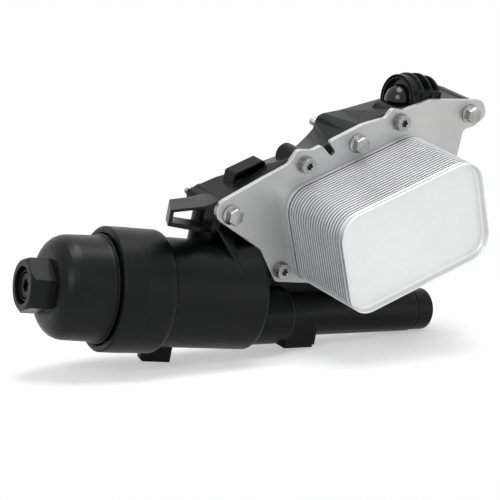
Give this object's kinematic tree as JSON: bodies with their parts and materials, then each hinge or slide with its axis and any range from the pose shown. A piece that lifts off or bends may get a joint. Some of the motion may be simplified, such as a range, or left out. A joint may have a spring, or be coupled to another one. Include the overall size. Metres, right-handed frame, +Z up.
{
  "type": "oil filter housing",
  "caption": "Moulded oil filter housing with a screw cap, a cartridge element and a stack-plate oil cooler on a stamped plate, bolted to an engine.",
  "frame": {"origin": "where the axis of the middle long bolt meets the engine face", "axes": "+Y toward the engine along the bolts, +Z up in the engine face, +X along the housing away from the screw cap"},
  "size_m": [0.3306, 0.1206, 0.196],
  "materials": {
    "housing_plastic": "moulded, satin",
    "cap_plastic": "moulded, satin",
    "plug_plastic": "gloss",
    "inner_plastic": "moulded",
    "cooler_aluminium": "brazed, bright",
    "plate_aluminium": "stamped, bright",
    "bolt_steel": "zinc plated",
    "plain_steel": "plain",
    "black_rubber": "matt",
    "filter_paper": "pleated"
  },
  "bodies": {
    "housing": {"filter_housing": "housing_plastic", "cooler_mounting_plate": "plate_aluminium", "cooler_base_dish": "cooler_aluminium", "cooler_dish_stack": "cooler_aluminium", "cooler_front_dish": "cooler_aluminium", "long_bolts_upper": "bolt_steel", "long_bolt_lower": "bolt_steel", "compression_sleeves": "plain_steel", "short_screws_visible": "bolt_steel", "short_screw_hidden": "bolt_steel", "port_seals": "black_rubber", "engine_gasket": "black_rubber", "locating_dowels": "plain_steel", "standpipe": "inner_plastic", "bypass_spring": "plain_steel", "bypass_seat": "plain_steel", "valve_plug": "plug_plastic", "valve_plug_o_ring": "black_rubber", "valve_spring": "plain_steel", "outlet_clip": "plain_steel", "outlet_o_ring": "black_rubber"},
    "filter_element": {"filter_pleats": "filter_paper", "element_outer_end": "inner_plastic", "element_inner_end": "inner_plastic", "element_core": "inner_plastic", "element_seal": "black_rubber"},
    "screw_cap": {"filter_cap": "cap_plastic", "cap_o_ring": "black_rubber", "drain_plug": "cap_plastic", "drain_plug_o_ring": "black_rubber"},
    "bypass_poppet": {"bypass_poppet": "inner_plastic"},
    "valve_piston": {"valve_piston": "plain_steel"}
  },
  "joints": [
    {"name": "cap_travel", "type": "slide", "parent": "housing", "child": "filter_element", "axis": [-0.9836, 0.1805, 0], "range_m": [0, 0.0121]},
    {"name": "cap_turn", "type": "hinge", "parent": "filter_element", "child": "screw_cap", "pos_m": [-0.1677, -0.0179, -0.1054], "axis": [-0.9836, 0.1805, 0], "range_deg": [0, 1080]},
    {"name": "bypass_lift", "type": "slide", "parent": "housing", "child": "bypass_poppet", "axis": [0.9836, -0.1805, 0], "range_m": [0, 0.003], "stiffness_N_per_m": 300, "springref_m": -0.004, "deforming": ["bypass_spring"]},
    {"name": "valve_shift", "type": "slide", "parent": "housing", "child": "valve_piston", "axis": [-1, 0, 0], "range_m": [0, 0.006], "stiffness_N_per_m": 300, "springref_m": -0.004, "deforming": ["valve_spring"]}
  ],
  "couplings": [
    {"joint": "cap_travel", "follows": "cap_turn", "m_per_rad": 0.00063662}
  ]
}
